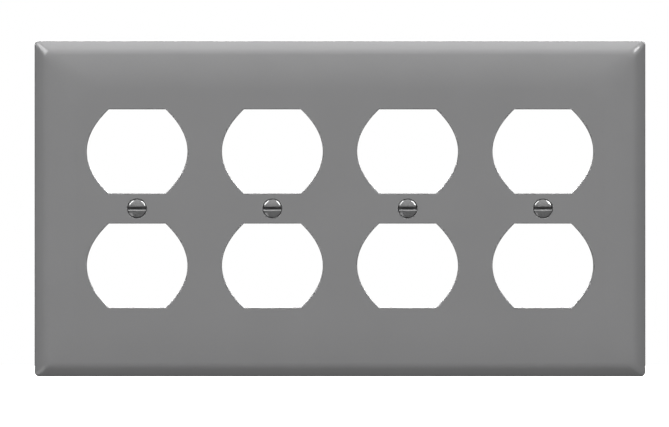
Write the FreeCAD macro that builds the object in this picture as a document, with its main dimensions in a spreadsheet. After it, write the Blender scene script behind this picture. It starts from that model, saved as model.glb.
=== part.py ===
import FreeCAD, Part
import math
import os
import re
import Sketcher

# Four-gang duplex wall plate with its four slotted oval-head screws.
#
# Frame: millimetres, +Z up, +X to the right of someone facing the plate. The plate's back rim lies on
# the wall, in the plane y = 0, and its face looks along -Y. The origin is the middle of that back rim.
# A sketch on the XZ plane therefore has +X to its right, +Z up and its normal pointing out of the wall,
# so "height" below always means the distance from the wall, measured along that normal.

# Driving dimensions, in millimetres unless the note says otherwise: alias, value, what it is.
DIMENSIONS = (
    ("gangs", 4, "number of device positions, a count"),
    ("gang_pitch", 46.04, "from one device to the next"),
    ("plate_width", 208.03, "outside width"),
    ("plate_height", 114.3, "outside height"),
    ("plate_depth", 5.6, "from the wall to the middle of the face"),
    ("corner_radius", 1.4, "corners of the outline, seen from the front"),
    ("bevel_width", 4.9, "width of the bevel and its blend, seen from the front"),
    ("bevel_tilt", 33, "tilt of the bevel from the face, in degrees"),
    ("face_blend", 5.3, "radius that runs the bevel into the crowned border"),
    ("side_blend", 0.9, "radius between the bevel and the upright sides"),
    ("crown_width", 12.4, "width of the gently crowned border around the flat middle"),
    ("crown_tilt", 7, "tilt of the crowned border where it meets the bevel, in degrees"),
    ("rim_width", 1.8, "width of the back rim on the wall"),
    ("rim_depth", 1.2, "depth of the hollow where its walls start to lean in"),
    ("skin", 2.2, "thickness of the plate behind its face"),
    ("hollow_radius", 1.0, "corners of the hollow"),
    ("rib_clearance", 1.9, "from the wall to the ribs, which leaves room for a device's yoke"),
    ("rib_width", 1.4, "thickness of the ribs between the gangs"),
    ("rib_inset", 3.2, "from the plate's edge to the ends of those ribs, inside the leaning walls"),
    ("rib_root", 0.4, "how far ribs reach into the skin that they stand on"),
    ("opening_width", 34.3, "across the curved sides of a device opening"),
    ("opening_height", 28.58, "between the flats of a device opening"),
    ("opening_flat", 19.4, "length of each flat"),
    ("opening_spacing", 38.9, "between the centres of a gang's two openings"),
    ("opening_edge", 0.25, "radius on the front edge of an opening"),
    ("collar_width", 1.5, "width of the lip behind each opening"),
    ("boss_diameter", 9.0, "boss behind each screw hole"),
    ("hole_diameter", 3.96, "clearance hole for the screw"),
    ("sink_diameter", 6.65, "countersink at the face"),
    ("sink_angle", 82, "countersink and screw head cone, in degrees"),
    ("seat_gap", 0.03, "gap between the head's cone and its countersink"),
    ("head_diameter", 6.4, "screw head"),
    ("head_land", 0.2, "upright edge of the screw head"),
    ("dome_height", 0.9, "height of the oval dome on the head"),
    ("head_edge", 0.25, "radius around the dome's edge"),
    ("screw_length", 12.7, "from the widest part of the head to the tip"),
    ("neck_diameter", 2.99, "plain neck, the size of the blank that the thread is rolled on"),
    ("neck_clearance", 0.3, "from the back of the boss to the start of the thread"),
    ("thread_diameter", 3.505, "across the thread's crests"),
    ("thread_root", 2.53, "across the thread's roots"),
    ("thread_pitch", 0.79375, "advance in one turn"),
    ("thread_angle", 60, "between the two flanks of the thread, in degrees"),
    ("tip_chamfer", 0.5, "chamfer at the tip of the screw"),
    ("slot_width", 0.75, "driver slot"),
    ("slot_depth", 1.25, "driver slot, below the top of the dome"),
    ("slot_lip", 0.4, "width and depth of the bevel along the slot's edges"),
)

TINY = 1e-4  # places nearer to each other than this are the same place

doc = FreeCAD.newDocument("wall_plate")
sheet = doc.addObject("Spreadsheet::Sheet", "dimensions")


def fill_sheet():
    """Writes the driving dimensions, each with its alias and its note."""
    for row, (alias, value, note) in enumerate(DIMENSIONS, start=1):
        sheet.set(f"A{row}", alias)
        sheet.set(f"B{row}", str(value))
        sheet.set(f"C{row}", note)
        sheet.setAlias(f"B{row}", alias)
    doc.recompute()


def bound(text):
    """The sheet's expression for text that names its aliases, such as "plate_width / 2"."""
    aliases = {alias for alias, _, _ in DIMENSIONS}
    return re.sub(r"[a-z_]+", lambda word: ("dimensions." if word[0] in aliases else "") + word[0], text)


def size(text):
    """The number that an expression on the sheet comes to."""
    return float(sheet.evalExpression(bound(text)))


# ---------------------------------------------------------------- sketches


def origin_plane(body, role):
    """One of the body's own planes, by its role."""
    return next(feature for feature in body.Origin.OriginFeatures if feature.Role == role)


def new_sketch(body, name, plane_role, height="0", across="0", up="0"):
    """A sketch on one of the body's origin planes, moved by expressions along its normal and its axes."""
    sketch = body.newObject("Sketcher::SketchObject", name)
    sketch.AttachmentSupport = [(origin_plane(body, plane_role), "")]
    sketch.MapMode = "FlatFace"
    for axis, text in (("x", across), ("y", up), ("z", height)):
        if text != "0":
            sketch.setExpression(f"AttachmentOffset.Base.{axis}", bound(text))
    return sketch


def end_at(sketch, edge, place):
    """Which end of an edge stands at a place: 1 for its start, or 2 for its end."""
    return 1 if (sketch.getPoint(edge, 1) - place).Length < TINY else 2


def pin(sketch, geometry, point, across, up):
    """Fixes a point of the sketch at a place given by two expressions."""
    for kind, axis, text in (("DistanceX", -2, across), ("DistanceY", -1, up)):
        value = size(text)
        if abs(value) < TINY:
            sketch.addConstraint(Sketcher.Constraint("PointOnObject", geometry, point, axis))
            continue
        ends = (-1, 1, geometry, point) if value > 0 else (geometry, point, -1, 1)
        index = sketch.addConstraint(Sketcher.Constraint(kind, *ends, abs(value)))
        sketch.setExpression(f"Constraints[{index}]", bound(text if value > 0 else f"-({text})"))


def arc_between(start, end, radius):
    """An arc from start to end that bulges to the right of the way there, or to the left if radius < 0."""
    chord = end - start
    aside = FreeCAD.Vector(chord.y, -chord.x, 0).normalize() * math.copysign(1, radius)
    sagitta = abs(radius) - math.sqrt(radius**2 - chord.Length**2 / 4)
    return Part.Arc(start, (start + end) / 2 + aside * sagitta, end)


def draw_outline(sketch, corners):
    """A closed outline. Each corner is two expressions for its place, which a straight edge leads to, or
    three, where the third is the radius of the arc that leads to it, as arc_between reads it."""
    places = [FreeCAD.Vector(size(corner[0]), size(corner[1]), 0) for corner in corners]
    for i, corner in enumerate(corners):
        start, end = places[i - 1], places[i]
        if len(corner) == 2:
            sketch.addGeometry(Part.LineSegment(start, end))
            continue
        radius = size(corner[2])
        edge = sketch.addGeometry(arc_between(start, end, radius))
        number = sketch.addConstraint(Sketcher.Constraint("Radius", edge, abs(radius)))
        sketch.setExpression(f"Constraints[{number}]", bound(f"abs({corner[2]})"))
    for i, (corner, place) in enumerate(zip(corners, places)):
        following = (i + 1) % len(corners)
        here = end_at(sketch, i, place)
        there = end_at(sketch, following, place)
        sketch.addConstraint(Sketcher.Constraint("Coincident", i, here, following, there))
        pin(sketch, i, here, corner[0], corner[1])


def draw_rectangle(sketch, width, height):
    """A sharp rectangle around the sketch's origin."""
    right, top = f"({width}) / 2", f"({height}) / 2"
    left, bottom = f"-({width}) / 2", f"-({height}) / 2"
    draw_outline(sketch, ((left, bottom), (right, bottom), (right, top), (left, top)))


def draw_rounded_rectangle(sketch, width, height, radius):
    """A rectangle around the sketch's origin with rounded corners, anticlockwise from its lower side."""
    right, top = f"({width}) / 2", f"({height}) / 2"
    left, bottom = f"-({width}) / 2", f"-({height}) / 2"
    draw_outline(sketch, (
        (f"{right} - {radius}", bottom),
        (right, f"{bottom} + {radius}", radius),
        (right, f"{top} - {radius}"),
        (f"{right} - {radius}", top, radius),
        (f"{left} + {radius}", top),
        (left, f"{top} - {radius}", radius),
        (left, f"{bottom} + {radius}"),
        (f"{left} + {radius}", bottom, radius),
    ))


def draw_circle(sketch, diameter):
    """A circle around the sketch's origin."""
    circle = Part.Circle(FreeCAD.Vector(0, 0, 0), FreeCAD.Vector(0, 0, 1), size(diameter) / 2)
    index = sketch.addGeometry(circle)
    sketch.addConstraint(Sketcher.Constraint("Coincident", index, 3, -1, 1))
    number = sketch.addConstraint(Sketcher.Constraint("Diameter", index, size(diameter)))
    sketch.setExpression(f"Constraints[{number}]", bound(diameter))


def draw_barrel(sketch, width, height, flat):
    """The outline of a device opening around the sketch's origin: two flats joined by bulging parabolas."""
    half_width, half_height, half_flat = (size(text) / 2 for text in (width, height, flat))
    focal_length = half_height**2 / (4 * (half_width - half_flat))
    for up in (1, -1):
        ends = [FreeCAD.Vector(side * half_flat, up * half_height, 0) for side in (-1, 1)]
        line = sketch.addGeometry(Part.LineSegment(*ends))
        for point, side in ((1, -1), (2, 1)):
            pin(sketch, line, point, f"({flat}) / {2 * side}", f"({height}) / {2 * up}")
    for side in (1, -1):
        apex = FreeCAD.Vector(side * half_width, 0, 0)
        focus = FreeCAD.Vector(side * (half_width - focal_length), 0, 0)
        curve = Part.Parabola(focus, apex, FreeCAD.Vector(0, 0, 1))
        arc = sketch.addGeometry(Part.ArcOfParabola(curve, -half_height, half_height))
        for line, up in ((0, 1), (1, -1)):
            corner = FreeCAD.Vector(side * half_flat, up * half_height, 0)
            ends = (arc, end_at(sketch, arc, corner), line, end_at(sketch, line, corner))
            sketch.addConstraint(Sketcher.Constraint("Coincident", *ends))
        pin(sketch, arc, 3, f"({width}) / {2 * side}", "0")


# ---------------------------------------------------------------- features


def add_feature(body, kind, name, profile=None, values=(), sizes=()):
    """A PartDesign feature with its profile, its plain values and its sizes bound to the sheet."""
    feature = body.newObject(f"PartDesign::{kind}", name)
    if profile:
        feature.Profile = profile
    for key, value in values:
        setattr(feature, key, value)
    for key, text in sizes:
        feature.setExpression(key, bound(text))
    body.Tip = feature
    doc.recompute()
    return feature


def round_edges(body, name, radius, wanted):
    """A fillet on every edge of the body so far that the function wanted picks."""
    base = body.Tip
    edges = [f"Edge{i}" for i, edge in enumerate(base.Shape.Edges, start=1) if wanted(edge)]
    feature = body.newObject("PartDesign::Fillet", name)
    feature.Base = (base, edges)
    feature.setExpression("Radius", bound(radius))
    body.Tip = feature
    doc.recompute()


def lies_at(edge, height):
    """Whether the whole edge lies at one height above the wall."""
    box = edge.BoundBox
    return abs(box.YMin + height) < TINY and abs(box.YMax + height) < TINY


def repeat_along(body, name, features, sketch, count, rows="1"):
    """Repeats features count times along the gangs, and down to the lower row of openings if rows is 2."""
    pattern = body.newObject("PartDesign::LinearPattern", name)
    pattern.Originals = features
    pattern.Direction = (sketch, ["H_Axis"])
    pattern.setExpression("Length", bound(f"gang_pitch * ({count} - 1)"))
    pattern.setExpression("Occurrences", bound(count))
    pattern.Direction2 = (sketch, ["V_Axis"])
    pattern.Reversed2 = True
    pattern.setExpression("Length2", bound("opening_spacing"))
    pattern.setExpression("Occurrences2", rows)
    body.Tip = pattern
    doc.recompute()


def mirror_about(body, name, features, plane_role):
    """Mirrors features about one of the body's origin planes."""
    mirror = body.newObject("PartDesign::Mirrored", name)
    mirror.Originals = features
    mirror.MirrorPlane = (origin_plane(body, plane_role), [""])
    body.Tip = mirror
    doc.recompute()


# ---------------------------------------------------------------- the plate

FIRST_GANG = "-gang_pitch * (gangs - 1) / 2"
UPPER_ROW = "opening_spacing / 2"
UNDERSIDE = "(plate_depth - skin)"

# The border of the face, from the flat middle outwards: a crowned strip, a blend, the bevel and a small
# radius at the upright side. Each is tangent to the next. An inset is measured in from the plate's edge.
CROWN_INSET = "(bevel_width + crown_width)"
CROWN_FOOT = "(plate_depth - crown_width * tan(crown_tilt / 2))"
BEVEL_INSET = "(bevel_width - face_blend * (sin(bevel_tilt) - sin(crown_tilt)))"
BEVEL_TOP = f"({CROWN_FOOT} - face_blend * (cos(crown_tilt) - cos(bevel_tilt)))"
SIDE_INSET = "(side_blend * (1 - sin(bevel_tilt)))"
BEVEL_FOOT = f"({BEVEL_TOP} - ({BEVEL_INSET} - {SIDE_INSET}) * tan(bevel_tilt))"
SIDE_HEIGHT = f"({BEVEL_FOOT} - side_blend * cos(bevel_tilt))"


def border_section(half_size):
    """What is cut off an edge that lies half_size from the plate's middle, as corners (along, height)."""
    outside, above = "(-crown_width)", "2 * plate_depth"
    steps = (
        (outside, above),
        (CROWN_INSET, above),
        (CROWN_INSET, "plate_depth"),
        ("bevel_width", CROWN_FOOT, "-crown_width / sin(crown_tilt)"),
        (BEVEL_INSET, BEVEL_TOP, "-face_blend"),
        (SIDE_INSET, BEVEL_FOOT),
        ("0", SIDE_HEIGHT, "-side_blend"),
        (outside, SIDE_HEIGHT),
    )
    return [(f"({half_size} - {inset})", height, *radius) for inset, height, *radius in steps]


def add_shell(body):
    """The plate's outside: a slab whose four edges are cut to the border's section, which mitres them."""
    outline = new_sketch(body, "outline", "XZ_Plane")
    draw_rounded_rectangle(outline, "plate_width", "plate_height", "corner_radius")
    add_feature(body, "Pad", "slab", outline, sizes=[("Length", "plate_depth")])

    upper = new_sketch(body, "upper_section", "YZ_Plane")
    places = border_section("plate_height / 2")
    draw_outline(upper, [(f"-({height})", along, *radius) for along, height, *radius in places])
    left = new_sketch(body, "left_section", "XY_Plane")
    places = border_section("plate_width / 2")
    draw_outline(left, [(f"-{along}", f"-({height})", *radius) for along, height, *radius in places])

    values = [("SideType", "Symmetric")]
    cut = add_feature(body, "Pocket", "upper_border", upper, values, [("Length", "2 * plate_width")])
    mirror_about(body, "upper_and_lower_borders", [cut], "XY_Plane")
    cut = add_feature(body, "Pocket", "left_border", left, values, [("Length", "2 * plate_height")])
    mirror_about(body, "left_and_right_borders", [cut], "YZ_Plane")


def add_hollow(body):
    """The hollow back, whose walls stand upright behind the rim and then lean in along the bevel."""
    mouth = ("plate_width - 2 * rim_width", "plate_height - 2 * rim_width", "hollow_radius")
    lean = f"2 * ({UNDERSIDE} - rim_depth) / tan(bevel_tilt)"
    floor = (f"{mouth[0]} - {lean}", f"{mouth[1]} - {lean}", "hollow_radius")
    levels = (("hollow_mouth", "0", mouth), ("hollow_waist", "rim_depth", mouth),
              ("hollow_floor", UNDERSIDE, floor))
    sketches = []
    for name, height, outline in levels:
        sketch = new_sketch(body, name, "XZ_Plane", height=height)
        draw_rounded_rectangle(sketch, *outline)
        sketches.append(sketch)
    mouth_sketch, waist_sketch, floor_sketch = sketches
    values = [("Reversed", True)]
    add_feature(body, "Pocket", "hollow_rim", mouth_sketch, values, [("Length", "rim_depth")])
    values = [("Sections", [floor_sketch]), ("Ruled", True)]
    add_feature(body, "SubtractiveLoft", "hollow", waist_sketch, values)


def add_raised(body, name, draw, across=FIRST_GANG, up="0"):
    """A pad on the underside of the skin, level with the other ribs. Returns it and its sketch."""
    sketch = new_sketch(body, f"{name}_outline", "XZ_Plane", "rib_clearance", across, up)
    draw(sketch)
    length = [("Length", f"{UNDERSIDE} - rib_clearance + rib_root")]
    return add_feature(body, "Pad", name, sketch, sizes=length), sketch


def add_ribs(body):
    """What stiffens the back: ribs between the gangs, a lip around each opening and a boss at each screw."""
    def draw_rib(sketch):
        draw_rectangle(sketch, "rib_width", "plate_height - 2 * rib_inset")

    def draw_collar(sketch):
        wide = [f"{side} + 2 * collar_width" for side in ("opening_width", "opening_height")]
        draw_barrel(sketch, *wide, "opening_flat + collar_width")

    def draw_boss(sketch):
        draw_circle(sketch, "boss_diameter")

    rib, sketch = add_raised(body, "rib", draw_rib, across="-gang_pitch * (gangs - 2) / 2")
    repeat_along(body, "ribs", [rib], sketch, "(gangs - 1)")
    collar, sketch = add_raised(body, "collar", draw_collar, up=UPPER_ROW)
    repeat_along(body, "collars", [collar], sketch, "gangs", rows="2")
    boss, sketch = add_raised(body, "boss", draw_boss)
    repeat_along(body, "bosses", [boss], sketch, "gangs")


def add_openings(body):
    """The eight device openings, cut right through, with a fine radius on their front edges."""
    sketch = new_sketch(body, "opening_outline", "XZ_Plane", across=FIRST_GANG, up=UPPER_ROW)
    draw_barrel(sketch, "opening_width", "opening_height", "opening_flat")
    through = [("Type", "ThroughAll"), ("Reversed", True)]
    opening = add_feature(body, "Pocket", "opening", sketch, values=through)
    repeat_along(body, "openings", [opening], sketch, "gangs", rows="2")

    def borders_an_opening(edge):
        return lies_at(edge, size("plate_depth")) and edge.Length < size("opening_width")

    round_edges(body, "opening_edges", "opening_edge", borders_an_opening)


def add_screw_holes(body):
    """The four clearance holes, countersunk from the face."""
    sketch = new_sketch(body, "hole_circle", "XZ_Plane", height="plate_depth", across=FIRST_GANG)
    draw_circle(sketch, "hole_diameter")
    kinds = [("DepthType", "ThroughAll"), ("HoleCutType", "Countersink"), ("HoleCutCustomValues", True)]
    sizes = [("Diameter", "hole_diameter"), ("HoleCutDiameter", "sink_diameter"),
             ("HoleCutCountersinkAngle", "sink_angle")]
    hole = add_feature(body, "Hole", "screw_hole", sketch, values=kinds, sizes=sizes)
    repeat_along(body, "screw_holes", [hole], sketch, "gangs")


def make_plate():
    """The moulded plate, from its outside in."""
    body = doc.addObject("PartDesign::Body", "wall_plate")
    for step in (add_shell, add_hollow, add_ribs, add_openings, add_screw_holes):
        step(body)
    return body


# ---------------------------------------------------------------- the screws

# Places along a screw, as heights above the wall. The head's rim sits below the face by as much as makes
# its cone clear the countersink by the seat gap.
HALF_CONE = "tan(sink_angle / 2)"
RIM = (f"(plate_depth - ((sink_diameter - head_diameter) / 2 - seat_gap / cos(sink_angle / 2))"
       f" / {HALF_CONE})")
CROWN = f"({RIM} + head_land + dome_height)"
CONE_END = f"({RIM} - (head_diameter - neck_diameter) / 2 / {HALF_CONE})"
THREAD_START = "(rib_clearance - neck_clearance)"
TIP = f"({RIM} - screw_length)"
DOME_RADIUS = "(((head_diameter / 2) ^ 2 + dome_height ^ 2) / (2 * dome_height))"
LIP_SWEEP = 80  # degrees about the dome's centre, enough to pass both edges of the head


def add_blank(body):
    """The turned blank: oval dome, upright rim, cone, plain neck, thread cylinder and chamfered tip."""
    step_up = "(thread_diameter - neck_diameter) / 2"
    sketch = new_sketch(body, "half_profile", "XY_Plane")
    draw_outline(sketch, (
        ("0", f"-{CROWN}", f"-{DOME_RADIUS}"),
        ("0", f"-{TIP}"),
        ("thread_diameter / 2 - tip_chamfer", f"-{TIP}"),
        ("thread_diameter / 2", f"-({TIP} + tip_chamfer)"),
        ("thread_diameter / 2", f"-({THREAD_START} - {step_up})"),
        ("neck_diameter / 2", f"-{THREAD_START}"),
        ("neck_diameter / 2", f"-{CONE_END}"),
        ("head_diameter / 2", f"-{RIM}"),
        ("head_diameter / 2", f"-({RIM} + head_land)"),
    ))
    values = [("ReferenceAxis", (sketch, ["V_Axis"]))]
    add_feature(body, "Revolution", "blank", sketch, values)
    dome_foot = size(f"{RIM} + head_land")
    round_edges(body, "head_edge_fillet", "head_edge", lambda e: lies_at(e, dome_foot))


def add_slot(body):
    """The driver slot, straight across the head, and the bevels that follow the dome along its lips."""
    sketch = new_sketch(body, "slot_profile", "YZ_Plane")
    outside, floor = f"-({CROWN} + slot_depth)", f"-({CROWN} - slot_depth)"
    low, high = "-slot_width / 2", "slot_width / 2"
    draw_outline(sketch, ((outside, low), (floor, low), (floor, high), (outside, high)))
    values = [("SideType", "Symmetric")]
    add_feature(body, "Pocket", "slot", sketch, values, sizes=[("Length", "2 * head_diameter")])

    lips = new_sketch(body, "lip_profile", "YZ_Plane", across=f"{DOME_RADIUS} - {CROWN}")
    outside, inside = f"-({DOME_RADIUS} + slot_lip)", f"-({DOME_RADIUS} - slot_lip)"
    wide = "(slot_width / 2 + 2 * slot_lip)"
    draw_outline(lips, ((outside, f"-{wide}"), (inside, low), (inside, high), (outside, wide)))
    values = [("ReferenceAxis", (lips, ["V_Axis"])), ("Midplane", True), ("Angle", LIP_SWEEP)]
    add_feature(body, "Groove", "slot_lips", lips, values)


def add_thread(body):
    """The right-hand thread: a groove along a helix, from a turn past the tip up to the neck. The groove's
    floor is an eighth of the pitch to each side of its middle, and its mouth is clear of the crests."""
    sketch = new_sketch(body, "groove_profile", "XY_Plane")
    middle = f"-({THREAD_START} - thread_pitch / 2)"
    outside, root = "(thread_diameter / 2 + thread_pitch / 8)", "thread_root / 2"
    half_root = "thread_pitch / 8"
    half_mouth = f"({half_root} + ({outside} - {root}) * tan(thread_angle / 2))"
    draw_outline(sketch, ((outside, f"{middle} - {half_mouth}"), (root, f"{middle} - {half_root}"),
                          (root, f"{middle} + {half_root}"), (outside, f"{middle} + {half_mouth}")))
    values = [("ReferenceAxis", (sketch, ["V_Axis"])), ("Mode", "pitch-height-angle")]
    sizes = [("Pitch", "thread_pitch"), ("Height", f"{THREAD_START} - {TIP} + thread_pitch")]
    add_feature(body, "SubtractiveHelix", "thread", sketch, values, sizes)


def make_screw(number):
    """One screw, standing in its own gang's hole."""
    body = doc.addObject("PartDesign::Body", f"screw_{number}")
    body.setExpression("Placement.Base.x", bound(f"gang_pitch * ({number} - (gangs + 1) / 2)"))
    add_blank(body)
    add_slot(body)
    add_thread(body)
    return body


def check_document(sub_parts):
    """Stops the build if any object failed, or if a sub-part isn't one valid solid."""
    failed = [o.Label for o in doc.Objects if "Invalid" in o.State or "Error" in o.State]
    if failed:
        raise RuntimeError(f"these objects failed: {failed}")
    for part in sub_parts:
        shape = part.Shape
        if shape.isNull() or not shape.isValid() or len(shape.Solids) != 1:
            raise RuntimeError(f"{part.Label} is not one valid solid")


fill_sheet()
sub_parts = [make_plate()] + [make_screw(number) for number in range(1, int(size("gangs")) + 1)]
doc.recompute()
check_document(sub_parts)
os.makedirs("parts", exist_ok=True)
for part in sub_parts:
    part.Shape.exportStep(f"parts/{part.Label}.step")
    print(f"{part.Label}: {part.Shape.Volume:.1f} mm3, {len(part.Shape.Faces)} faces")
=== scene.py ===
import math

import bmesh
import bpy
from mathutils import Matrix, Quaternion, Vector
from mathutils.geometry import delaunay_2d_cdt


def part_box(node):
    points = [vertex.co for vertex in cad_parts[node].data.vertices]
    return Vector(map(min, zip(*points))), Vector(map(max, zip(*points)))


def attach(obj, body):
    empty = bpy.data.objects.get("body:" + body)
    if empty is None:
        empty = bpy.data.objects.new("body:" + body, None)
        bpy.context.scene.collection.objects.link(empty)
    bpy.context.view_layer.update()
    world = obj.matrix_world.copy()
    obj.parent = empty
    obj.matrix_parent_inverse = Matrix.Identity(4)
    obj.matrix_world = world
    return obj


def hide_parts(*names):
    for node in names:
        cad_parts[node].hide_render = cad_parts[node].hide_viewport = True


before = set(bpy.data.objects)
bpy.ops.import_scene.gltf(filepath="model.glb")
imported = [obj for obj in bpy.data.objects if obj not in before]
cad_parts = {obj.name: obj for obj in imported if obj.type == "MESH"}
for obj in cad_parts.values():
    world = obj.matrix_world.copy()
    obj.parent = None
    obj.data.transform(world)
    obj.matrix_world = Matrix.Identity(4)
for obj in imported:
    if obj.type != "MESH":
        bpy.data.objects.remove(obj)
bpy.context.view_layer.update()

# A four-gang duplex wall plate with its four oval-head screws. Lengths are millimetres, except those of the
# stage, in the CAD's own frame: +X right, +Y into the wall, +Z up. A "height" is a distance from the wall,
# so it is -Y.

MM = 0.001
PLATE_LOW, PLATE_HIGH = (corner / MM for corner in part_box("wall_plate"))
WIDTH, DEPTH, TALL = PLATE_HIGH - PLATE_LOW
SCREWS = sorted(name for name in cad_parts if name.startswith("screw_"))


def middle_across(node):
    """Where the middle of a node stands across the plate."""
    low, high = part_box(node)
    return (low.x + high.x) / 2 / MM


GANGS = [middle_across(name) for name in SCREWS]
GANG_PITCH = GANGS[1] - GANGS[0]

# The plate's border.
CORNER = 1.4                # radius of the outline's corners
CORNER_GROWTH = 0.35        # how much that radius grows for each millimetre of inset
SIDE_BLEND = 0.9            # radius between the upright side and the bevel
BEVEL_WIDTH = 4.9           # from the outline to the crown: the bevel with the blend on each side of it
BEVEL_TILT = math.radians(33)      # at the bevel's inner edge
BEVEL_END_TILT = math.radians(41)  # at its outer edge, because it bulges a little
FACE_BLEND = 5.3            # radius between the bevel and the crown
CROWN_WIDTH = 12.4          # gently crowned strip around the flat middle
CROWN_TILT = math.radians(7)       # at the crown's outer edge

# The plate's back.
RIM_WIDTH = 1.8
RIM_DEPTH = 1.2
RIM_EDGE = 0.2              # radius on both edges of the rim
WALL = 2.2                  # thickness
HOLLOW_CORNER = 1.0         # radius of the hollow's corners
RIB_LEVEL = 1.9             # height of the ribs, collars and bosses
RIB_WIDTH = 1.4
RIB_INSET = 3.2             # from the outline to the end of a rib
COLLAR = 1.5                # width around an opening
BOSS = 4.5                  # radius
PIN_MARK = 2.4              # radius of the marks that ejector pins leave
PIN_SINK = 0.12             # their depth
PIN_RISE = 43               # how far above or below the screws they are

# The openings and the screw holes.
OPENING_WIDE = 34.3         # between the bulging sides
OPENING_TALL = 28.58        # between the flats
OPENING_FLAT = 19.4         # length of a flat
OPENING_RISE = 19.45        # middle of an opening above or below the screws
OPENING_EDGE = 0.25         # radius on the front edge
OPENINGS = [(x, z) for x in GANGS for z in (OPENING_RISE, -OPENING_RISE)]
HOLE = 1.98                 # radius
SINK = 3.325                # radius of the countersink at the face
SINK_SLOPE = math.tan(math.radians(41))  # how much its radius grows for each millimetre of height
SINK_EDGE = 0.08            # size of the rounding around its mouth
FLAT_BAND = 0.18            # flat band around an opening or a hole, which keeps the face's shading flat

# The screws.
SCREW_LOW, SCREW_HIGH = (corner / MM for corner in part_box(SCREWS[0]))
SCREW_TOP = -SCREW_LOW.y    # height of the top of the dome
SCREW_TIP = -SCREW_HIGH.y
HEAD = 3.2                  # radius
DOME = 0.9                  # height of the dome over its edge
DOME_RADIUS = (HEAD**2 + DOME**2) / (2 * DOME)
HEAD_LAND = 0.2             # upright band between the dome and the cone
HEAD_FOOT = SCREW_TOP - DOME - HEAD_LAND  # height of the cone's upper end
HEAD_EDGE = 0.25            # radius on the dome's edge
NECK = 1.495                # radius
NECK_FLARE = 0.15           # the cone bends into the neck from this far out
NECK_DROP = 0.2             # to this far below the cone's lower end
CREST = 1.7525              # radius of the thread's crests
ROOT = 1.265                # radius of its roots
PITCH = 0.79375
ROOT_SHARE = 0.25           # share of half a pitch that is root
FLANK_SHARE = 0.6           # share that is flank, with the rest for the crest
THREAD_START = 1.6          # height of the thread's upper end
TIP_CHAMFER = 0.5
SLOT_HALF = 0.375           # half of the slot's width
SLOT_DEPTH = 1.25
SLOT_CORNER = 0.1           # radius along the slot's floor
SLOT_LIP = 0.4              # width and depth of the bevels along the slot
LIP_EDGE = 0.12             # radius on both edges of the bevels
CUTTER_PAST = 1             # how far the cutters reach out of the head

# How finely shapes are drawn.
WELD = 0.002                # corners closer than this are one corner
HOLE_STEPS = 48
MARK_STEPS = 24
SCREW_STEPS = 96
ROWS_PER_TURN = 16          # of the thread

# How the materials look.
PLASTIC_TONE = 0.21
PAINT_TONE = 0.19
PAINT_METAL = 0.35          # how metallic the paint is
PAINT_ROUGHNESS = 0.11
ZINC_TONE = 0.6
ZINC_ROUGHNESS = 0.32
LIP_WEAR_AND_HIGHLIGHT = 1.0                  # greatest share of the paint taken off the slot's lower bevel, baring light zinc: partly wear, partly painted highlight
PAINTED_GAP_SHADE = 0.2                 # painted shade: share of its light that a countersink or a head's rim gives back, where the gap around the head is in shade
PAINTED_SLOT_SHADE = 0.32           # painted shade: share of its light that a slot gives back

# The stage, in metres.
FLOOR_REACH = 3             # to the left, to the right and to the front
FLOOR_BEHIND = 0.2
FLOOR_TONE = 0.8
FLOOR_GLOW = 0.75
LAMP_AWAY = 2.2
AMBIENT = 0.04              # light from all around
SKY = 1.8                   # brightness of the mirrored sky overhead

# The camera.
VIEW_WIDE = 228.0           # what the picture spans at the plate
VIEW_MIDDLE = (-1.87, -1.72)  # where its middle lies on the plate, across and up
VIEW_AWAY = 3000
FILM_WIDE = 36


# ------------------------------------------------------------------ mesh tools


class Skin:
    """Faces that share their corners wherever the corners coincide."""

    def __init__(self):
        self.places = []
        self.faces = []
        self.known = {}

    def at(self, place):
        """The number of the corner at a place (x, height, z)."""
        key = tuple(round(value, 4) for value in place)
        if key not in self.known:
            self.known[key] = len(self.places)
            self.places.append((place[0], -place[1], place[2]))
        return self.known[key]

    def face(self, *places):
        """A face through places, without those that coincide. Fewer than three places make no face."""
        corners = []
        for corner in map(self.at, places):
            if corner not in corners:
                corners.append(corner)
        if len(corners) > 2:
            self.faces.append(corners)

    def strip(self, first, second):
        """Quads between two closed rows of places of the same length."""
        for i in range(len(first)):
            j = (i + 1) % len(first)
            self.face(first[i], first[j], second[j], second[i])

    def strips(self, rows):
        """Quads between each row and the next."""
        for first, second in zip(rows, rows[1:]):
            self.strip(first, second)

    def piece(self, name):
        """The faces as an object in metres, with its normals all pointing outwards."""
        mesh = bpy.data.meshes.new(name)
        mesh.from_pydata([Vector(place) * MM for place in self.places], [], self.faces)
        work = bmesh.new()
        work.from_mesh(mesh)
        bmesh.ops.remove_doubles(work, verts=work.verts, dist=WELD * MM)
        bmesh.ops.recalc_face_normals(work, faces=work.faces)
        work.to_mesh(mesh)
        work.free()
        obj = bpy.data.objects.new(name, mesh)
        bpy.context.scene.collection.objects.link(obj)
        return obj


def smooth(obj, angle=30):
    """Shades a piece smooth, apart from edges sharper than the angle, with flat faces kept flat."""
    for polygon in obj.data.polygons:
        polygon.use_smooth = True
    obj.data.set_sharp_from_angle(angle=math.radians(angle))
    weighted = obj.modifiers.new("weighted_normals", "WEIGHTED_NORMAL")
    weighted.keep_sharp = True


def arc(centre, radius, start, end, steps):
    """Places (a, b) on an arc about a centre, from one angle to another in degrees."""
    angles = [math.radians(start + (end - start) * i / steps) for i in range(steps + 1)]
    return [(centre[0] + radius * math.cos(t), centre[1] + radius * math.sin(t)) for t in angles]


def circle(x, z, radius, steps):
    """Places (x, z) around a circle."""
    return arc((x, z), radius, 0, 360, steps)[:-1]


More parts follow.
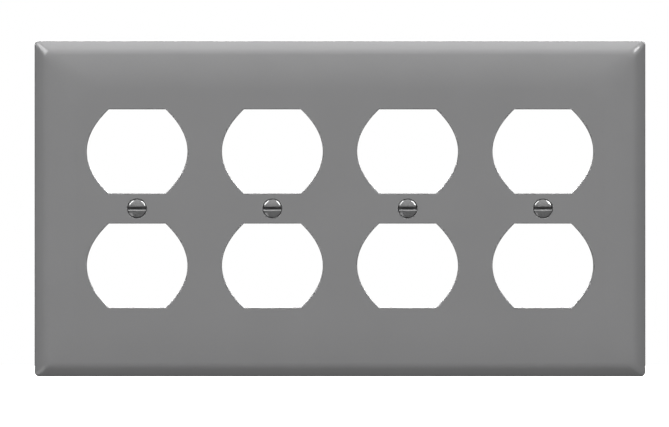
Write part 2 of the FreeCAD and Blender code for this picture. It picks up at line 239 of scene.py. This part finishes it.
def rounded_rectangle(inset, radius, long_steps=64, short_steps=34, corner_steps=8):
    """Places (x, z) around the plate at an inset from its outline, anticlockwise seen from its front."""
    half_x, half_z = WIDTH / 2 - inset - radius, TALL / 2 - inset - radius
    places = []
    for quarter, (sign_x, sign_z) in enumerate(((1, 1), (-1, 1), (-1, -1), (1, -1))):
        centre = (sign_x * half_x, sign_z * half_z)
        places += arc(centre, radius, 90 * quarter, 90 * quarter + 90, corner_steps)
        level = quarter % 2 == 0
        steps = long_steps if level else short_steps
        run = (-2 * sign_x * half_x, 0) if level else (0, -2 * sign_z * half_z)
        x, z = places[-1]
        places += [(x + run[0] * i / steps, z + run[1] * i / steps) for i in range(1, steps)]
    return places


def barrel(x, z, wide, tall, flat, flat_steps=10, side_steps=36):
    """Places (x, z) around an opening: two flats joined by bulging parabolas, anticlockwise."""
    places = []
    for sign in (1, -1):
        for i in range(side_steps):
            t = 2 * i / side_steps - 1
            reach = flat / 2 + (wide - flat) / 2 * (1 - t * t)
            places.append((x + sign * reach, z + sign * t * tall / 2))
        for i in range(flat_steps):
            places.append((x + sign * flat * (0.5 - i / flat_steps), z + sign * tall / 2))
    return places


def offset(outline, distance):
    """An anticlockwise outline moved outwards, each side staying parallel to itself."""
    moved = []
    for i, place in enumerate(outline):
        here = Vector(place)
        before = Vector(outline[i - 1])
        after = Vector(outline[(i + 1) % len(outline)])
        sides = [(here - before).normalized(), (after - here).normalized()]
        first, second = (Vector((side.y, -side.x)) for side in sides)
        moved.append(tuple(here + (first + second) * distance / (1 + first.dot(second))))
    return moved


def lift(outline, height):
    """Places (x, height, z) of an outline at one height."""
    return [(x, height, z) for x, z in outline]


def front_view(row):
    """Places (x, z) of a row, as they are seen from the front."""
    return [(x, z) for x, _, z in row]


def holds(outline, x, z):
    """Whether an outline goes around a place."""
    inside = False
    for (x0, z0), (x1, z1) in zip(outline, outline[1:] + outline[:1]):
        if (z0 > z) != (z1 > z) and x < x0 + (x1 - x0) * (z - z0) / (z1 - z0):
            inside = not inside
    return inside


def boxed(outlines):
    """Outlines with their bounding boxes, so that any_holds can pass over most of them."""
    shapes = []
    for outline in outlines:
        xs, zs = zip(*outline)
        shapes.append((outline, min(xs), max(xs), min(zs), max(zs)))
    return shapes


def any_holds(shapes, x, z):
    """Whether any boxed outline goes around a place."""
    return any(x0 < x < x1 and z0 < z < z1 and holds(outline, x, z) for outline, x0, x1, z0, z1 in shapes)


def grid_clear_of(points, spacing, clear):
    """Places (x, z) on a staggered grid over the plate, all of them clear of points by a distance."""
    cell = 2 * clear
    near = {}
    for x, z in points:
        near.setdefault((round(x / cell), round(z / cell)), []).append((x, z))
    columns, rows = int(WIDTH / spacing / 2), int(TALL / spacing / 2)
    places = []
    for i in range(-columns, columns + 1):
        for j in range(-rows, rows + 1):
            x, z = (i + j % 2 / 2) * spacing, j * spacing
            a, b = round(x / cell), round(z / cell)
            around = [(a + u, b + v) for u in (-1, 0, 1) for v in (-1, 0, 1)]
            close = [point for key in around for point in near.get(key, ())]
            if all((x - p) ** 2 + (z - q) ** 2 > clear**2 for p, q in close):
                places.append((x, z))
    return places


def triangulate(outlines, spacing, clear):
    """Triangles over the plate, with the outlines among their edges and a grid of places between those.
    Each triangle is three places (x, z)."""
    points = [point for outline in outlines for point in outline]
    edges = []
    first = 0
    for outline in outlines:
        count = len(outline)
        edges += [(first + i, first + (i + 1) % count) for i in range(count)]
        first += count
    points += grid_clear_of(points, spacing, clear)
    found = delaunay_2d_cdt([Vector(point) for point in points], edges, [], 0, 1e-6)
    places = [tuple(place) for place in found[0]]
    return [[places[i] for i in triangle] for triangle in found[2]]


def between(triangles, edge, gaps):
    """The triangles inside an edge and outside all gaps, each with its middle."""
    inside, outside = boxed([edge]), boxed(gaps)
    for triangle in triangles:
        x, z = (sum(values) / 3 for values in zip(*triangle))
        if any_holds(inside, x, z) and not any_holds(outside, x, z):
            yield triangle, (x, z)


# ------------------------------------------------------------------ the plate


def bend(section, radius, start, end, steps):
    """Carries a section of (inset, height) on, outwards and down, along an arc from one tilt to another."""
    inset, height = section[-1]
    for i in range(1, steps + 1):
        tilt = start + (end - start) * i / steps
        run = radius * (math.sin(tilt) - math.sin(start))
        drop = radius * (math.cos(start) - math.cos(tilt))
        section.append((inset - run, height - drop))


def border():
    """The plate's border as (inset, height, corner radius), from the flat middle around to the hollow."""
    section = [(BEVEL_WIDTH + CROWN_WIDTH, DEPTH)]
    bend(section, CROWN_WIDTH / math.sin(CROWN_TILT), 0, CROWN_TILT, steps=10)
    bend(section, FACE_BLEND, CROWN_TILT, BEVEL_TILT, steps=8)
    bevel_run = section[-1][0] - SIDE_BLEND * (1 - math.sin(BEVEL_END_TILT))
    bevel_radius = bevel_run / (math.sin(BEVEL_END_TILT) - math.sin(BEVEL_TILT))
    bend(section, bevel_radius, BEVEL_TILT, BEVEL_END_TILT, steps=6)
    bend(section, SIDE_BLEND, BEVEL_END_TILT, math.pi / 2, steps=5)
    outside = [(inset, height, CORNER + CORNER_GROWTH * inset) for inset, height in section]

    rim = arc((RIM_EDGE, RIM_EDGE), RIM_EDGE, 180, 270, steps=4)
    rim += arc((RIM_WIDTH - RIM_EDGE, RIM_EDGE), RIM_EDGE, 270, 360, steps=4)
    rim.append((RIM_WIDTH, RIM_DEPTH))
    shrink = (CORNER - HOLLOW_CORNER) / RIM_WIDTH
    return outside + [(inset, height, CORNER - shrink * inset) for inset, height in rim]


def screw_hole(x):
    """A countersunk hole as rows of places, from the flat band around it to the back of its boss."""
    cone_end = DEPTH - (SINK - HOLE) / SINK_SLOPE
    section = (
        (SINK + FLAT_BAND, DEPTH),
        (SINK + SINK_EDGE, DEPTH),
        (SINK + SINK_EDGE / 4, DEPTH - SINK_EDGE / 3),
        (SINK - SINK_EDGE, DEPTH - 1.4 * SINK_EDGE),
        (HOLE, cone_end),
        (HOLE, RIB_LEVEL),
    )
    return [lift(circle(x, 0, radius, HOLE_STEPS), height) for radius, height in section]


def opening(x, z):
    """An opening as rows of places, from the flat band around it to the back of its collar."""
    outline = barrel(x, z, OPENING_WIDE, OPENING_TALL, OPENING_FLAT)
    section = [(OPENING_EDGE + FLAT_BAND, DEPTH)]
    section += arc((OPENING_EDGE, DEPTH - OPENING_EDGE), OPENING_EDGE, 90, 180, steps=5)
    section.append((0, RIB_LEVEL))
    return [lift(offset(outline, out), height) for out, height in section]


def collar(x, z):
    """The outline of the collar behind an opening."""
    return barrel(x, z, OPENING_WIDE + 2 * COLLAR, OPENING_TALL + 2 * COLLAR, OPENING_FLAT + COLLAR)


def rib(x):
    """The outline of an upright rib."""
    half, end = RIB_WIDTH / 2, TALL / 2 - RIB_INSET
    return [(x - half, -end), (x + half, -end), (x + half, end), (x - half, end)]


def underside(x, z):
    """Height of the hollow's surface: it leans in from the rim, like the bevel, up to a level floor."""
    p, q = WIDTH / 2 - abs(x), TALL / 2 - abs(z)
    inset = min(p, q)
    if abs(p - q) < HOLLOW_CORNER:
        inset = (p + q + math.sqrt(2 * HOLLOW_CORNER**2 - (p - q) ** 2)) / 2 - HOLLOW_CORNER
    return min(DEPTH - WALL, RIM_DEPTH + (inset - RIM_WIDTH) * math.tan(BEVEL_TILT))


def on_back(places, kind):
    """Places (x, z) put on the back at the height of a kind of surface: raised, sunk or hollow."""
    if kind == "raised":
        return lift(places, RIB_LEVEL)
    deeper = PIN_SINK if kind == "sunk" else 0
    return [(x, underside(x, z) + deeper, z) for x, z in places]


def add_face(skin, edge, gaps):
    """The flat middle of the face."""
    triangles = triangulate([edge] + gaps, spacing=3.2, clear=1.2)
    for corners, _ in between(triangles, edge, gaps):
        skin.face(*lift(corners, DEPTH))


def add_back(skin, edge, gaps):
    """The hollow back with its ribs, collars, bosses and pin marks, and the steps where two kinds of
    surface meet."""
    lean = (DEPTH - WALL - RIM_DEPTH) / math.tan(BEVEL_TILT)
    floor = rounded_rectangle(RIM_WIDTH + lean, HOLLOW_CORNER)
    raised = [rib((left + right) / 2) for left, right in zip(GANGS, GANGS[1:])]
    raised += [collar(x, z) for x, z in OPENINGS]
    raised += [circle(x, 0, BOSS, HOLE_STEPS) for x in GANGS]
    sunk = [circle(x, z, PIN_MARK, MARK_STEPS) for x in GANGS for z in (PIN_RISE, -PIN_RISE)]
    triangles = triangulate([edge, floor] + raised + sunk + gaps, spacing=4, clear=1.5)
    raised, sunk = boxed(raised), boxed(sunk)
    sides = {}
    for corners, (x, z) in between(triangles, edge, gaps):
        kind = "raised" if any_holds(raised, x, z) else "sunk" if any_holds(sunk, x, z) else "hollow"
        skin.face(*on_back(corners, kind))
        for side in zip(corners, corners[1:] + corners[:1]):
            sides.setdefault(tuple(sorted(side)), set()).add(kind)
    for side, kinds in sides.items():
        if len(kinds) == 2:
            one, other = (on_back(side, kind) for kind in sorted(kinds))
            skin.face(*one, *reversed(other))


def make_plate():
    """The moulded plate: its border, its openings and holes, its face and its ribbed back."""
    skin = Skin()
    rows = [lift(rounded_rectangle(inset, radius), height) for inset, height, radius in border()]
    skin.strips(rows)
    gaps = [opening(x, z) for x, z in OPENINGS] + [screw_hole(x) for x in GANGS]
    for gap in gaps:
        skin.strips(gap)
    add_face(skin, front_view(rows[0]), [front_view(gap[0]) for gap in gaps])
    add_back(skin, front_view(rows[-1]), [front_view(gap[-1]) for gap in gaps])
    piece = skin.piece("moulded_plate")
    smooth(piece)
    return piece


# ------------------------------------------------------------------ the screws


def head_profile():
    """The head and the neck as (radius, height), from beside the top of the dome to the thread."""
    centre = SCREW_TOP - DOME_RADIUS
    edge_out = HEAD - HEAD_EDGE
    edge_up = math.sqrt((DOME_RADIUS - HEAD_EDGE) ** 2 - edge_out**2)
    lean = math.degrees(math.atan2(edge_out, edge_up))
    dome = arc((0, centre), DOME_RADIUS, 90, 90 - lean, steps=18)[1:]
    rounded = arc((edge_out, centre + edge_up), HEAD_EDGE, 90 - lean, 0, steps=6)[1:]
    cone_end = HEAD_FOOT - (HEAD - NECK) / SINK_SLOPE
    cone = [(HEAD, HEAD_FOOT), (NECK + NECK_FLARE, cone_end + NECK_FLARE / SINK_SLOPE)]
    neck = [(NECK, cone_end - NECK_DROP), (NECK, THREAD_START)]
    return dome + rounded + cone + neck


def thread_radius(height, turn):
    """Radius of the threaded shank at a height and a share of a turn: flat roots and crests joined by
    flanks. The crests rise out of the neck and fall to the tip's chamfer."""
    phase = (height / PITCH - turn) % 1
    along = abs(phase - 0.5) * 2
    rise = min(max((along - ROOT_SHARE) / FLANK_SHARE, 0), 1)
    chamfer_top = SCREW_TIP + TIP_CHAMFER
    crest = min(CREST, NECK + THREAD_START - height, CREST - chamfer_top + height)
    ease = min(max((THREAD_START - height) / PITCH, 0), 1)
    root = min(NECK + (ROOT - NECK) * ease, crest)
    return root + (crest - root) * rise


def thread_row(row):
    """Places around the shank along one winding of the helix, a share of a turn below the row before."""
    places = []
    for i in range(SCREW_STEPS):
        turn = i / SCREW_STEPS
        height = THREAD_START + PITCH * (turn - row / ROWS_PER_TURN)
        height = min(max(height, SCREW_TIP), THREAD_START)
        radius = thread_radius(height, turn)
        angle = 2 * math.pi * turn
        places.append((radius * math.cos(angle), height, radius * math.sin(angle)))
    return places


def screw_blank():
    """One screw about its own axis, before its slot is cut."""
    skin = Skin()
    head = [lift(circle(0, 0, radius, SCREW_STEPS), height) for radius, height in head_profile()]
    skin.strips(head)
    top = (0, SCREW_TOP, 0)
    for first, second in zip(head[0], head[0][1:] + head[0][:1]):
        skin.face(top, first, second)
    turns = (THREAD_START - SCREW_TIP) / PITCH + 1
    thread = [head[-1]] + [thread_row(row) for row in range(int(turns * ROWS_PER_TURN) + 1)]
    skin.strips(thread)
    skin.face(*thread[-1])
    return skin.piece("slotted_screw_1")


def swept(name, rows):
    """A closed piece through rows of places, the first and the last of which are its ends."""
    skin = Skin()
    skin.strips(rows)
    skin.face(*rows[0])
    skin.face(*rows[-1])
    return skin.piece(name)


def slot_cutter():
    """What the driver slot takes out of the head: a channel with a rounded floor."""
    floor, above = SCREW_TOP - SLOT_DEPTH, SCREW_TOP + CUTTER_PAST
    centre = SLOT_HALF - SLOT_CORNER
    section = [(-SLOT_HALF, above)]
    section += arc((-centre, floor + SLOT_CORNER), SLOT_CORNER, 180, 270, steps=4)
    section += arc((centre, floor + SLOT_CORNER), SLOT_CORNER, 270, 360, steps=4)
    section.append((SLOT_HALF, above))
    ends = [[(x, height, z) for z, height in section] for x in (-2 * HEAD, 2 * HEAD)]
    return swept("slot_cutter", ends)


def lip_cutter(sweep=40, steps=32):
    """What bevels the slot's lips: a flare swept along the dome, by so many degrees to each side."""
    slope, shoulder = 135, 100  # where the bevel and the end of its outer edge face, in degrees
    bevel = SLOT_HALF + SLOT_LIP
    tangent = LIP_EDGE * math.tan(math.radians((180 - slope) / 2))
    right = arc((SLOT_HALF + LIP_EDGE, DOME_RADIUS - SLOT_LIP - tangent), LIP_EDGE, 180, slope, steps=4)
    right += arc((bevel + tangent, DOME_RADIUS - LIP_EDGE), LIP_EDGE, slope, shoulder, steps=4)
    right.append((bevel + SLOT_LIP, DOME_RADIUS + CUTTER_PAST))
    section = right + [(-z, reach) for z, reach in reversed(right)]
    centre = SCREW_TOP - DOME_RADIUS
    rows = []
    for i in range(steps + 1):
        angle = math.radians(-sweep + 2 * sweep * i / steps)
        rows.append([(reach * math.sin(angle), centre + reach * math.cos(angle), z) for z, reach in section])
    return swept("lip_cutter", rows)


def cut(piece, *cutters):
    """Takes closed cutters out of a piece, and removes them."""
    for cutter in cutters:
        boolean = piece.modifiers.new(cutter.name, "BOOLEAN")
        boolean.object = cutter
        boolean.operation = "DIFFERENCE"
        boolean.solver = "EXACT"
    bpy.context.view_layer.update()
    graph = bpy.context.evaluated_depsgraph_get()
    piece.data = bpy.data.meshes.new_from_object(piece.evaluated_get(graph))
    piece.modifiers.clear()
    for cutter in cutters:
        bpy.data.objects.remove(cutter)


def make_screws():
    """The four screws, each on its own gang's axis."""
    first = screw_blank()
    cut(first, slot_cutter(), lip_cutter())
    smooth(first, angle=35)
    pieces = [first]
    for number in range(2, len(GANGS) + 1):
        piece = first.copy()
        piece.name = f"slotted_screw_{number}"
        bpy.context.scene.collection.objects.link(piece)
        pieces.append(piece)
    for piece, x in zip(pieces, GANGS):
        piece.location.x = x * MM
    return pieces


# ------------------------------------------------------------------ shader tools


def add(tree, kind, inputs=None, **settings):
    """A shader node with its settings, and its inputs given as values or as other nodes' outputs."""
    made = tree.nodes.new(f"ShaderNode{kind}")
    for key, value in settings.items():
        setattr(made, key, value)
    for key, value in (inputs or {}).items():
        if isinstance(value, bpy.types.NodeSocket):
            tree.links.new(value, made.inputs[key])
        else:
            made.inputs[key].default_value = value
    return made


def new_material(name):
    """A material with its node tree and its shader."""
    material = bpy.data.materials.new(name)
    material.use_nodes = True
    tree = material.node_tree
    tree.nodes.clear()
    shader = add(tree, "BsdfPrincipled")
    output = add(tree, "OutputMaterial", {"Surface": shader.outputs["BSDF"]})
    output.target = "ALL"
    return material, tree, shader


def set_up(tree, shader, **inputs):
    """Links a shader's inputs, whose names are given with underscores, to values."""
    for name, value in inputs.items():
        tree.links.new(value, shader.inputs[name.replace("_", " ")])


def millimetres(tree):
    """A piece's own coordinates in millimetres."""
    place = add(tree, "TexCoord").outputs["Object"]
    return add(tree, "VectorMath", {0: place, "Scale": 1 / MM}, operation="SCALE").outputs["Vector"]


def maths(tree, operation, *values):
    """What an operation makes of values."""
    return add(tree, "Math", dict(enumerate(values)), operation=operation).outputs["Value"]


def times(tree, first, *others):
    """The product of values."""
    for other in others:
        first = maths(tree, "MULTIPLY", first, other)
    return first


def plus(tree, first, second):
    """The sum of two values."""
    return maths(tree, "ADD", first, second)


def minus(tree, first, second):
    """The difference of two values."""
    return maths(tree, "SUBTRACT", first, second)


def spread(tree, value, low, high, start=0.3, end=0.7):
    """What is low up to the start of a value, high from its end, and in proportion between."""
    inputs = {"Value": value, "From Min": start, "From Max": end, "To Min": low, "To Max": high}
    return add(tree, "MapRange", inputs).outputs["Result"]


def blend(tree, share, first, second):
    """What goes from a first to a second value as a share goes from 0 to 1."""
    return spread(tree, share, first, second, start=0, end=1)


def noise(tree, place, size, detail=2.0, stretch=None):
    """Noise between 0 and 1 whose features are about so many millimetres across."""
    if stretch:
        place = add(tree, "VectorMath", {0: place, 1: stretch}, operation="MULTIPLY").outputs["Vector"]
    return add(tree, "TexNoise", {"Vector": place, "Scale": 1 / size, "Detail": detail}).outputs["Fac"]


def grey(tree, value):
    """A colour from a value, a touch cooler than neutral."""
    inputs = {"Red": value, "Green": value, "Blue": times(tree, value, 1.01)}
    return add(tree, "CombineColor", inputs).outputs["Color"]


def bump(tree, height, depth, normal=None):
    """A normal that follows a height between 0 and 1, which stands for so many millimetres."""
    inputs = {"Height": height, "Distance": depth * MM, "Strength": 1.0}
    if normal:
        inputs["Normal"] = normal
    return add(tree, "Bump", inputs).outputs["Normal"]


def axis_distance(tree, axes, sideways):
    """Distance from a screw's axis: the length of a place's Z and its distance sideways."""
    place = add(tree, "CombineXYZ", {"X": sideways, "Z": axes.outputs["Z"]}).outputs["Vector"]
    return add(tree, "VectorMath", {0: place}, operation="LENGTH").outputs["Value"]


def hairlines(tree, place, angle, size):
    """Sparse fine scratches, 1 on a scratch and 0 off it, all running at about one angle."""
    turning = {"Vector": place, "Angle": math.radians(angle)}
    turned = add(tree, "VectorRotate", turning, rotation_type="Y_AXIS").outputs["Vector"]
    streaks = noise(tree, turned, size, detail=1, stretch=(0.02, 1, 1))
    middle, half_width = 0.5, 0.004
    thin = maths(tree, "COMPARE", streaks, middle, half_width)
    where = spread(tree, noise(tree, place, size=14), 0, 1, start=0.58, end=0.7)
    return times(tree, thin, where)


# ------------------------------------------------------------------ materials


def sink_shade(tree, place, fade=0.06):
    """Painted shade on the plate: share of its light that it gives back, little in a countersink, where the
    gap around a head is in shade, and all of it elsewhere.
    """
    axes = add(tree, "SeparateXYZ", {"Vector": place})
    from_gap = maths(tree, "PINGPONG", axes.outputs["X"], GANG_PITCH)
    radius = axis_distance(tree, axes, minus(tree, GANG_PITCH / 2, from_gap))
    return spread(tree, radius, PAINTED_GAP_SHADE, 1, start=SINK, end=SINK + fade)


def moulded_plastic():
    """Grey moulded thermoplastic: faint mottling, an orange-peel skin, a few hairline scuffs and painted
    shade in the countersinks.
    """
    material, tree, shader = new_material("moulded_plastic")
    place = millimetres(tree)
    mottle = spread(tree, noise(tree, place, size=22, detail=3), low=0.985, high=1.015)
    speckle = spread(tree, noise(tree, place, size=0.35, detail=1), low=0.99, high=1.01)
    # sink_shade paints shade into the countersinks
    tone = times(tree, mottle, speckle, sink_shade(tree, place), PLASTIC_TONE)
    scuffs = hairlines(tree, place, angle=24, size=0.5)
    scuffs = plus(tree, scuffs, hairlines(tree, place, angle=-51, size=0.6))
    satin = spread(tree, noise(tree, place, size=6, detail=4), low=0.12, high=0.16)
    waves = bump(tree, noise(tree, place, size=9, detail=1), depth=0.02)
    peel = bump(tree, noise(tree, place, size=0.45, detail=2), depth=0.0012, normal=waves)
    marks = bump(tree, scuffs, depth=-0.0006, normal=peel)
    roughness = plus(tree, satin, times(tree, scuffs, 0.1))
    set_up(tree, shader, Base_Color=grey(tree, tone), Roughness=roughness, Normal=marks)
    return material


def painted_head(tree, place, height):
    """1 on the head, 0 on the shank, with a ragged edge on the head's cone."""
    ragged = plus(tree, height, spread(tree, noise(tree, place, size=0.5, detail=4), low=-0.25, high=0.25))
    return spread(tree, ragged, 0, 1, start=HEAD_FOOT - 0.9, end=HEAD_FOOT - 0.7)


def lip_wear_and_highlight(tree, place, axes):
    """Share of the paint that is taken off, baring lighter zinc: most of it on the slot's lower bevel, none
    elsewhere. It is partly wear and partly a painted highlight on the bevel that faces the light.
    """
    lip = maths(tree, "COMPARE", axes.outputs["Z"], -SLOT_HALF - SLOT_LIP / 2, SLOT_LIP / 2)
    patchy = spread(tree, noise(tree, place, size=0.25, detail=5), low=LIP_WEAR_AND_HIGHLIGHT - 0.2, high=LIP_WEAR_AND_HIGHLIGHT)
    return times(tree, lip, patchy)


def head_shade(tree, axes, height):
    """Painted shade on the head: share of its light that it gives back, little at its rim and in its slot,
    where shade falls, else all of it.
    """
    radius = axis_distance(tree, axes, axes.outputs["X"])
    # painted shade around the head's rim, in the gap where shade falls
    rim = spread(tree, radius, 1, PAINTED_GAP_SHADE, start=HEAD - 0.2, end=HEAD - 0.12)
    over_centre = maths(tree, "SQRT", minus(tree, DOME_RADIUS**2, maths(tree, "POWER", radius, 2)))
    dome = plus(tree, over_centre, SCREW_TOP - DOME_RADIUS)
    sunk = minus(tree, dome, height)
    # painted shade deep in the slot, below its bevels
    slot = spread(tree, sunk, 1, PAINTED_SLOT_SHADE, start=SLOT_LIP - 0.1, end=SLOT_LIP + 0.1)
    return times(tree, rim, slot)


def painted_steel():
    """A steel screw: its head painted grey, with painted shade at its rim and in its slot, bared to zinc on
    the slot's lower bevel as wear and painted highlight, and its shank zinc plated.
    """
    material, tree, shader = new_material("painted_steel")
    place = millimetres(tree)
    axes = add(tree, "SeparateXYZ", {"Vector": place})
    height = times(tree, axes.outputs["Y"], -1)
    head = painted_head(tree, place, height)
    # the lower bevel bared to light zinc: partly wear, partly a painted highlight
    paint = times(tree, head, minus(tree, 1.0, lip_wear_and_highlight(tree, place, axes)))
    # painted shade at the rim and in the slot, on the head only
    shade = blend(tree, head, 1.0, head_shade(tree, axes, height))
    mottle = spread(tree, noise(tree, place, size=1.2, detail=4), low=0.95, high=1.05)
    tone = times(tree, blend(tree, paint, ZINC_TONE, PAINT_TONE), mottle, shade)
    patchy = spread(tree, noise(tree, place, size=0.4, detail=3), low=0.8, high=1.2)
    roughness = times(tree, blend(tree, head, ZINC_ROUGHNESS, PAINT_ROUGHNESS), patchy)
    peel = bump(tree, noise(tree, place, size=0.3, detail=2), depth=0.002)
    bristles = noise(tree, place, size=0.08, detail=2, stretch=(1, 8, 1))
    brushed = bump(tree, bristles, depth=0.0006, normal=peel)
    metallic = blend(tree, head, 1.0, PAINT_METAL)
    set_up(tree, shader, Base_Color=grey(tree, tone), Roughness=roughness, Normal=brushed, Metallic=metallic)
    # the painted shade also dims the head's reflections at its rim and in its slot
    set_up(tree, shader, Specular_IOR_Level=times(tree, shade, 0.5))
    return material


def paint_piece(piece, material):
    """Gives the whole of a piece one material."""
    piece.data.materials.clear()
    piece.data.materials.append(material)


# ------------------------------------------------------------------ stage, light and camera


def pale_floor():
    """A pale floor under the plate's lower edge. It ends a little way behind the plate, out of the camera's
    sight."""
    low = PLATE_LOW.z * MM
    left, right, front, behind = -FLOOR_REACH, FLOOR_REACH, -FLOOR_REACH, FLOOR_BEHIND
    corners = [(left, front, low), (right, front, low), (right, behind, low), (left, behind, low)]
    mesh = bpy.data.meshes.new("floor")
    mesh.from_pydata(corners, [], [(0, 1, 2, 3)])
    floor = bpy.data.objects.new("floor", mesh)
    bpy.context.scene.collection.objects.link(floor)
    material, _, shader = new_material("pale_floor")
    shader.inputs["Base Color"].default_value = (FLOOR_TONE, FLOOR_TONE, FLOOR_TONE, 1)
    shader.inputs["Roughness"].default_value = 0.9
    shader.inputs["Emission Color"].default_value = (1, 1, 1, 1)
    shader.inputs["Emission Strength"].default_value = FLOOR_GLOW
    floor.data.materials.append(material)
    floor.visible_diffuse = False
    floor.visible_glossy = False


def softbox(name, direction, wide, tall, power, roll=0, lights=True, mirrored=True):
    """A soft rectangular light that faces the plate from a direction, given as (right, front, up), rolled
    anticlockwise by so many degrees. It lights surfaces, is mirrored in glossy ones, or both."""
    light = bpy.data.lights.new(name, "AREA")
    light.shape = "RECTANGLE"
    light.size = wide
    light.size_y = tall
    light.energy = power
    lamp = bpy.data.objects.new(name, light)
    right, front, up = direction
    away = Vector((right, -front, up)).normalized()
    lamp.location = away * LAMP_AWAY
    facing = away.to_track_quat("Z", "Y") @ Quaternion((0, 0, 1), math.radians(roll))
    lamp.rotation_euler = facing.to_euler()
    lamp.visible_diffuse = lights
    lamp.visible_glossy = mirrored
    bpy.context.scene.collection.objects.link(lamp)
    return lamp


def shine_only_on(pieces, *lamps):
    """Keeps the light of some lamps to some pieces."""
    for lamp in lamps:
        lit = bpy.data.collections.new(f"{lamp.name}_receivers")
        for piece in pieces:
            lit.objects.link(piece)
        lamp.light_linking.receiver_collection = lit


def studio(plate, screws):
    """A large light in front, a weak one at the left, one overhead and one behind, which give the surfaces
    their tones. The others are only mirrored: a strip to each side in the rims of the screws' heads, one to
    each side in the plate's upper mitres, and one at the lower left."""
    softbox("front", (0, 0.927, 0.375), 1.6, 1.0, 58, mirrored=False)
    softbox("side", (-0.9, 0.44, 0), 1.0, 1.0, 4.5, mirrored=False)
    softbox("overhead", (0, -0.12, 1), 1.6, 0.5, 80, mirrored=False)
    rim_right = softbox("rim_right", (0.616, 0.559, 0.555), 1.3, 0.25, 20, roll=-63, lights=False)
    rim_left = softbox("rim_left", (-0.59, 0.559, 0.583), 1.3, 0.25, 14, roll=63, lights=False)
    shine_only_on(screws, rim_right, rim_left)
    mitre_right = softbox("mitre_right", (0.526, 0.669, 0.526), 0.55, 0.5, 11, roll=-59, lights=False)
    mitre_left = softbox("mitre_left", (-0.54, 0.645, 0.54), 1.0, 1.0, 20, roll=60, lights=False)
    shine_only_on([plate], mitre_right, mitre_left)
    softbox("low_left", (-0.6, 0.5, -0.6), 0.9, 0.9, 4, lights=False)
    softbox("rear", (0, -1, 0.3), 1.6, 1.0, 70)


def white_world():
    """White behind the object. What glossy surfaces mirror is a sky that brightens upwards, and everything
    else gets a dim even light."""
    world = bpy.data.worlds.new("studio")
    bpy.context.scene.world = world
    world.cycles.sampling_method = "NONE"
    world.use_nodes = True
    tree = world.node_tree
    tree.nodes.clear()
    rays = add(tree, "LightPath")
    direction = add(tree, "TexCoord").outputs["Generated"]
    upwards = add(tree, "SeparateXYZ", {"Vector": direction}).outputs["Z"]
    sky = blend(tree, upwards, AMBIENT, SKY)
    unseen = blend(tree, rays.outputs["Is Glossy Ray"], AMBIENT, sky)
    level = blend(tree, rays.outputs["Is Camera Ray"], unseen, 1.0)
    background = add(tree, "Background", {"Color": (1, 1, 1, 1), "Strength": level})
    add(tree, "OutputWorld", {"Surface": background.outputs["Background"]})


def front_camera():
    """A long lens straight in front of the plate."""
    lens = bpy.data.cameras.new("camera")
    lens.sensor_width = FILM_WIDE
    lens.lens = FILM_WIDE * VIEW_AWAY / VIEW_WIDE
    lens.clip_end = 100
    camera = bpy.data.objects.new("camera", lens)
    x, z = VIEW_MIDDLE
    camera.location = Vector((x, -VIEW_AWAY, z)) * MM
    camera.rotation_euler = (math.pi / 2, 0, 0)
    bpy.context.scene.collection.objects.link(camera)
    bpy.context.scene.camera = camera


plate = make_plate()
paint_piece(plate, moulded_plastic())
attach(plate, "plate")
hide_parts("wall_plate")

screws = make_screws()
screw_material = painted_steel()
for screw, node_name in zip(screws, SCREWS):
    paint_piece(screw, screw_material)
    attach(screw, node_name)
    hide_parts(node_name)

pale_floor()
studio(plate, screws)
white_world()
front_camera()
bpy.context.scene.view_settings.view_transform = "Standard"
